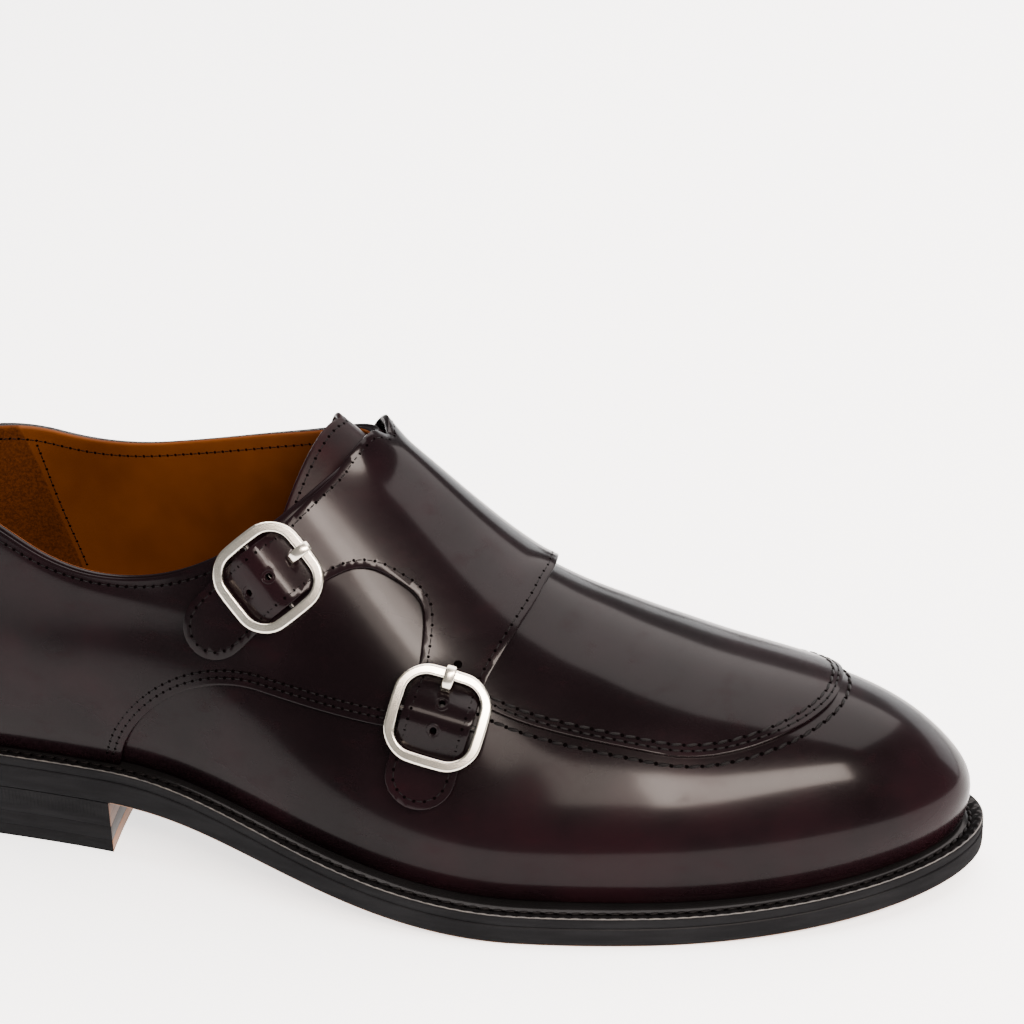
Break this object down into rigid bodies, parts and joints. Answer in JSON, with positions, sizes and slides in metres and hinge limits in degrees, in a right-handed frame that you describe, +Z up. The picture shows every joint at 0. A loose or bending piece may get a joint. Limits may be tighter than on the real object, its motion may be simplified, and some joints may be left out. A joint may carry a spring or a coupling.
{
  "type": "monk strap shoe",
  "caption": "Low dress shoe for the right foot with a round apron toe, a strap cuff held by small buckles, and a stacked heel.",
  "frame": {"origin": "under the middle of the shoe's bounding box, on the ground", "axes": "+X towards the toe, +Y towards the inner side (big toe), +Z up"},
  "size_m": [0.3062, 0.1064, 0.1169],
  "materials": {
    "upper_leather": "polished near-black burgundy calf leather",
    "tongue_leather": "burgundy leather, satin",
    "welt_leather": "black leather with stitches along its edge",
    "sole_edge": "dark grey waxed edge, satin",
    "heel_stack": "stacked leather, waxed brown",
    "heel_dark": "dark stacked leather",
    "heel_top_piece": "tan heel rubber, matte",
    "lining": "tan lining leather, matte",
    "buckle_metal": "polished silver-coloured metal"
  },
  "bodies": {
    "root": {"heel_top_piece": "heel_top_piece", "heel_lift": "heel_dark", "heel_stack": "heel_stack", "outsole": "sole_edge", "welt": "welt_leather", "insole": "lining", "upper": "upper_leather", "quarters": "upper_leather", "apron": "upper_leather", "tongue": "tongue_leather", "strap_cuff": "upper_leather", "buckle_frame_rear": "buckle_metal", "buckle_prong_rear": "buckle_metal", "buckle_frame_front": "buckle_metal", "buckle_prong_front": "buckle_metal"}
  },
  "joints": []
}
